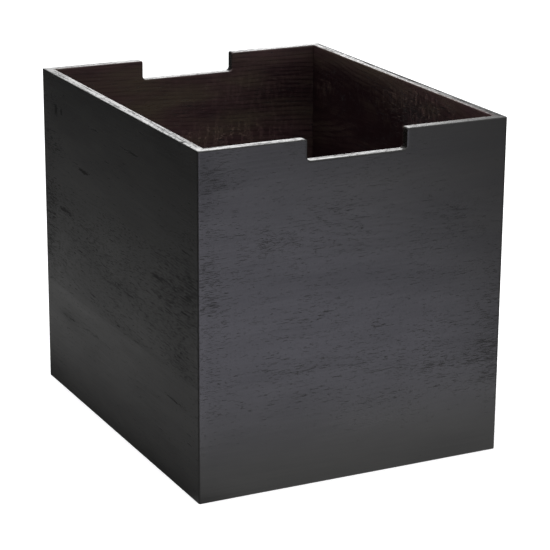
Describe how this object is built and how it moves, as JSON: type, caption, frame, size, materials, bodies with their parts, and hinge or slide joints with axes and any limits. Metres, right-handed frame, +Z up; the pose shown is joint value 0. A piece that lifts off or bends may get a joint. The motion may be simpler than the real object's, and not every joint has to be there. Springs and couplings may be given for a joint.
{
  "type": "open storage box",
  "caption": "Open-topped black-stained oak storage box with mitred corners and a shallow hand notch in the front and back rims.",
  "frame": {"origin": "centre of the footprint, on the surface the box stands on", "axes": "+Z up, -Y out of the front wall with its hand notch, +X to the right of someone facing the front; the box is longest along Y"},
  "size_m": [0.31, 0.375, 0.325],
  "materials": {
    "stained_oak": "black-stained open-pore oak with a satin varnish",
    "stained_panel": "black-stained oak veneer with a satin varnish",
    "bare_wood": "raw planed beech"
  },
  "bodies": {
    "root": {"back_board_bottom": "stained_oak", "back_board_middle": "stained_oak", "back_board_top": "stained_oak", "bottom_panel": "stained_panel", "corner_spline_back_left": "bare_wood", "corner_spline_back_right": "bare_wood", "corner_spline_front_left": "bare_wood", "corner_spline_front_right": "bare_wood", "front_board_bottom": "stained_oak", "front_board_middle": "stained_oak", "front_board_top": "stained_oak", "left_board_bottom": "stained_oak", "left_board_middle": "stained_oak", "left_board_top": "stained_oak", "right_board_bottom": "stained_oak", "right_board_middle": "stained_oak", "right_board_top": "stained_oak"}
  },
  "joints": []
}
